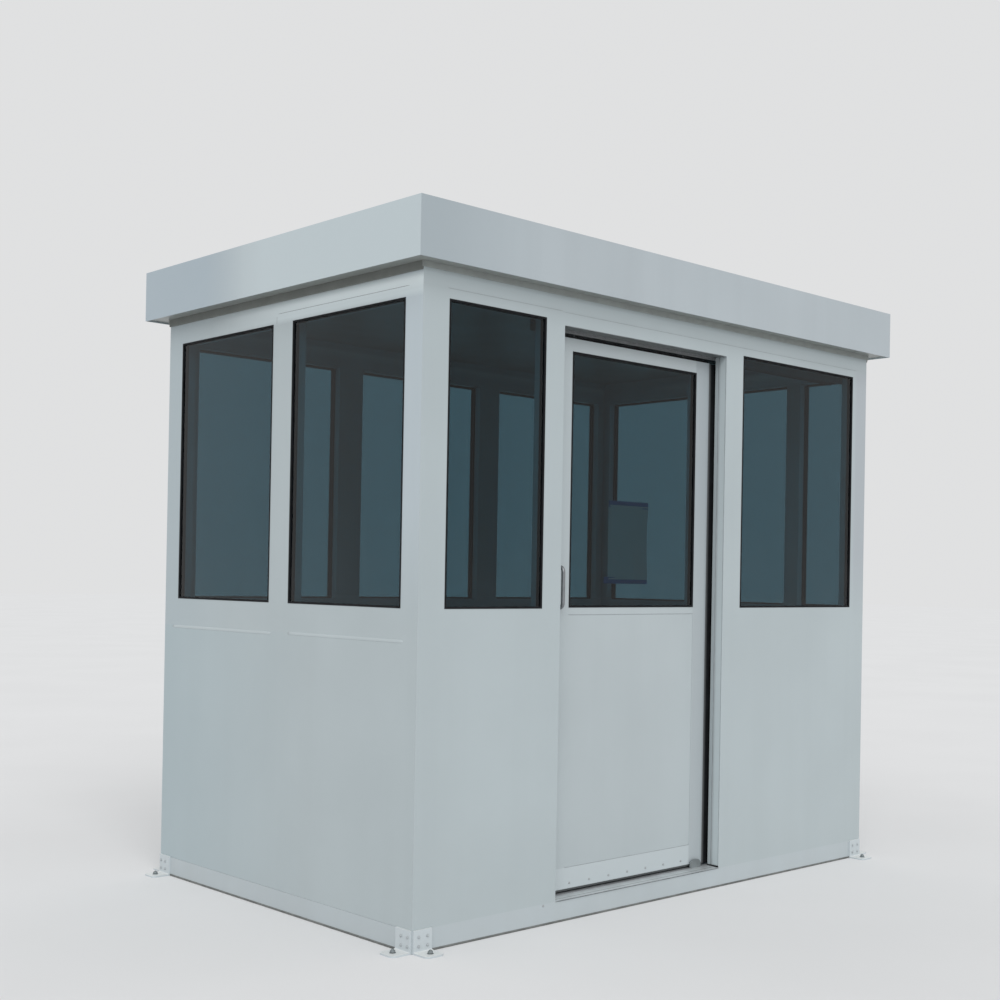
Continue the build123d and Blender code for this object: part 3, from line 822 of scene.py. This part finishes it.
def crepe_tape(name, colour):
    """Blue masking tape, creped into fine cross wrinkles."""
    finish, tree, shader, place = start_finish(name)
    wrinkles = add_noise(tree, place, 40.0, 4.0, (14, 1, 1))
    tone = blend_colours(tree, wrinkles, shade(colour, 0.8), shade(colour, 1.25))
    tree.links.new(tone, shader.inputs["Base Color"])
    shader.inputs["Roughness"].default_value = 0.6
    press_bumps(tree, shader, (wrinkles, 0.0002))
    return finish


glass_back_y = -0.739


def wave_sheet(name, low, high, rows, lift=0.0, swell=0.0):
    """A thin sheet against the pane that stands off a little between its fixed edges."""
    columns = 6
    sheet = add_block(name, low, high)
    bpy.ops.object.mode_set(mode="EDIT")
    bpy.ops.mesh.select_all(action="SELECT")
    for step in range(1, rows):
        cut = low[2] + (high[2] - low[2]) * step / rows
        bpy.ops.mesh.select_all(action="SELECT")
        bpy.ops.mesh.bisect(plane_co=(0, 0, cut), plane_no=(0, 0, 1))
    for step in range(1, columns):
        cut = low[0] + (high[0] - low[0]) * step / columns
        bpy.ops.mesh.select_all(action="SELECT")
        bpy.ops.mesh.bisect(plane_co=(cut, 0, 0), plane_no=(1, 0, 0))
    bpy.ops.object.mode_set(mode="OBJECT")
    for corner in sheet.data.vertices:
        up = (corner.co.z - low[2]) / (high[2] - low[2])
        side = (corner.co.x - low[0]) / (high[0] - low[0])
        bulge = math.sin(math.pi * up)
        corner.co.y += lift * bulge + swell * bulge * (2 * side - 1) ** 2
    only(sheet)
    bpy.ops.object.shade_smooth_by_angle(angle=math.radians(40))
    return sheet


paper_front_y = glass_back_y + 0.0004
paper_back_y = glass_back_y + 0.0007
paper = wave_sheet("taped_sheet", (-0.304, paper_front_y, 1.217), (-0.088, paper_back_y, 1.496),
                   rows=8, lift=0.0025, swell=0.0040)
dress(paper, "door", sheet_paper("paper_white", (0.42, 0.42, 0.41)))
tape_front_y = glass_back_y + 0.0008
tape_back_y = glass_back_y + 0.0010
tapes = [
    wave_sheet("tape_strips", (-0.308, tape_front_y, 1.487), (-0.088, tape_back_y, 1.512), rows=3),
    wave_sheet("tape_strips", (-0.330, tape_front_y, 1.201), (-0.090, tape_back_y, 1.226), rows=3),
]
dress(join_pieces("tape_strips", tapes), "door", crepe_tape("tape_blue", (0.022, 0.10, 0.27)))


# ANCHOR BRACKETS
# A pair of painted steel angles at each corner, each held by four hex washer screws and fixed
# to the ground through its foot by a galvanised anchor with nut and washer. The faces that
# look up are painted paler, as painted light.

bracket_enamel = satin_paint("bracket_enamel", (0.520, 0.572, 0.598))
# Painted light: the faces that look up are paler.
painted_top_light = (0.70, 0.72, 0.71)
repaint_by_tilt(bracket_enamel, painted_top_light, most=0.8, start=0.5, full=0.9)
put_finish(bracket_enamel, "anchor_brackets_front_left", "anchor_brackets_front_right",
           "anchor_brackets_rear_left", "anchor_brackets_rear_right")


def add_round(name, corners, radius, low, high, edge):
    """A round or many-sided block standing from low to high, with softened edges."""
    bpy.ops.object.select_all(action="DESELECT")
    bpy.ops.mesh.primitive_cylinder_add(vertices=corners, radius=radius, depth=high - low,
                                        location=(0, 0, (low + high) / 2))
    block = bpy.context.object
    block.name = name
    bpy.ops.object.transform_apply(location=True)
    round_edges(block, edge)
    return block


hex_screw = join_pieces("hex_screw", [
    add_round("screw_flange", 24, 0.0055, low=0.0, high=0.0012, edge=0.0004),
    add_round("screw_head", 6, 0.0042, low=0.0008, high=0.0042, edge=0.0006),
])
bracket_thickness = 0.006
bracket_face_x = wall_face_x + bracket_thickness
bracket_face_y = wall_face_y + bracket_thickness
screw_heights = (0.024, 0.054)
front_screw_insets = (0.023, 0.060)
end_screw_insets = (0.015, 0.048)
bracket_screws = []
for side in (-1, 1):
    front_spots = [(end * (wall_face_x - inset), side * bracket_face_y, height)
                   for end in (-1, 1) for inset in front_screw_insets for height in screw_heights]
    bracket_screws.append(set_out(hex_screw, "bracket_screws", front_spots, (0, side, 0)))
    end_spots = [(side * bracket_face_x, end * (wall_face_y - inset), height)
                 for end in (-1, 1) for inset in end_screw_insets for height in screw_heights]
    bracket_screws.append(set_out(hex_screw, "bracket_screws", end_spots, (side, 0, 0)))
drop(hex_screw)
bracket_zinc = dull_zinc("bracket_zinc", (0.43, 0.465, 0.48), rusty=0.20, metal=0.15)
dress(join_pieces("bracket_screws", bracket_screws), "booth", bracket_zinc)


def make_anchor_stud(radius, low, high, pitch):
    """A threaded stud: its top is drawn up ring by ring, each ring pinched then let out."""
    shank = 0.012
    root = 0.90
    chamfer = 0.0012
    bpy.ops.object.select_all(action="DESELECT")
    bpy.ops.mesh.primitive_cylinder_add(vertices=16, radius=radius, depth=shank,
                                        location=(0, 0, low + shank / 2))
    stud = bpy.context.object
    bpy.ops.object.transform_apply(location=True)
    pick_top(stud)
    rings = int((high - low - shank) / pitch)
    for _ in range(rings):
        for squeeze in (root, 1 / root):
            bpy.ops.mesh.extrude_region_move(TRANSFORM_OT_translate={"value": (0, 0, pitch / 2)})
            bpy.ops.transform.resize(value=(squeeze, squeeze, 1))
    bpy.ops.mesh.extrude_region_move(TRANSFORM_OT_translate={"value": (0, 0, chamfer)})
    bpy.ops.transform.resize(value=(0.78, 0.78, 1))
    bpy.ops.object.mode_set(mode="OBJECT")
    bpy.ops.object.shade_smooth_by_angle(angle=math.radians(30))
    return stud


washer_top = bracket_thickness + 0.0018
nut_top = bracket_thickness + 0.0092
ground_anchor = join_pieces("ground_anchor", [
    make_anchor_stud(0.0048, low=0.0010, high=0.0188, pitch=0.0015),
    add_round("anchor_washer", 32, 0.0110, low=bracket_thickness, high=washer_top, edge=0.0005),
    add_round("anchor_nut", 6, 0.0088, low=washer_top, high=nut_top, edge=0.0011),
])
front_anchor = (1.229, 0.858)
end_anchor = (1.315, 0.772)
anchor_spots = [(end * x, side * y, 0) for x, y in (front_anchor, end_anchor)
                for end in (-1, 1) for side in (-1, 1)]
anchors = set_out(ground_anchor, "ground_anchors", anchor_spots, (0, 0, 1))
drop(ground_anchor)
anchor_zinc = dull_zinc("anchor_zinc", (0.235, 0.265, 0.275), rusty=0.45, metal=0.5)
dress(anchors, "booth", anchor_zinc)


# STUDIO
# A plain pale floor that runs to the horizon, an even pale surround that lights from all
# round, and one very soft lamp from the front left that lays a faint shadow.

bpy.ops.object.select_all(action="DESELECT")
bpy.ops.mesh.primitive_plane_add(size=120, location=(0, 0, 0))
studio_floor = bpy.context.object
studio_floor.name = "studio_floor"
bpy.ops.object.mode_set(mode="EDIT")
bpy.ops.mesh.subdivide(number_cuts=3)
bpy.ops.object.mode_set(mode="OBJECT")
floor_finish, floor_tree, floor_shader, floor_place = start_finish("studio_floor_finish")
floor_cloud = spread(floor_tree, add_noise(floor_tree, floor_place, 0.8, 4.0), 0.0, 1.0)
floor_tone = blend_colours(floor_tree, floor_cloud, (0.715, 0.718, 0.722), (0.730, 0.733, 0.737))
floor_tree.links.new(floor_tone, floor_shader.inputs["Base Color"])
floor_shader.inputs["Roughness"].default_value = 0.95
floor_shader.inputs["Specular IOR Level"].default_value = 0.0
studio_floor.data.materials.append(floor_finish)

surround = bpy.data.worlds.new("studio_surround")
surround.use_nodes = True
surround.node_tree.nodes["Background"].inputs["Color"].default_value = (0.745, 0.75, 0.755, 1)
surround.node_tree.nodes["Background"].inputs["Strength"].default_value = 1.0
bpy.context.scene.world = surround

bpy.ops.object.select_all(action="DESELECT")
lamp_from = Vector((-0.86, -1.15, 1.10))
lamp_turn = lamp_from.to_track_quat("Z", "Y").to_euler()
bpy.ops.object.light_add(type="SUN", location=lamp_from * 4, rotation=lamp_turn)
soft_lamp = bpy.context.object
soft_lamp.data.energy = 1.50
soft_lamp.data.angle = math.radians(45)


# CAMERA
# The photograph's own viewpoint, at chest height off the left front corner. The lens is a
# normal one, shifted so that the booth lies in the picture where the photograph has it.

bpy.ops.object.select_all(action="DESELECT")
camera_turn = [math.radians(angle) for angle in (90.3579, -0.98876, -44.0648)]
bpy.ops.object.camera_add(location=(-4.1090, -4.3557, 1.2225), rotation=camera_turn)
camera = bpy.context.object
camera.data.lens = 50.56
camera.data.sensor_width = 36.0
camera.data.shift_x = -0.05
camera.data.shift_y = 0.068
camera.data.clip_end = 400.0
bpy.context.scene.camera = camera
bpy.context.scene.view_settings.view_transform = "Standard"
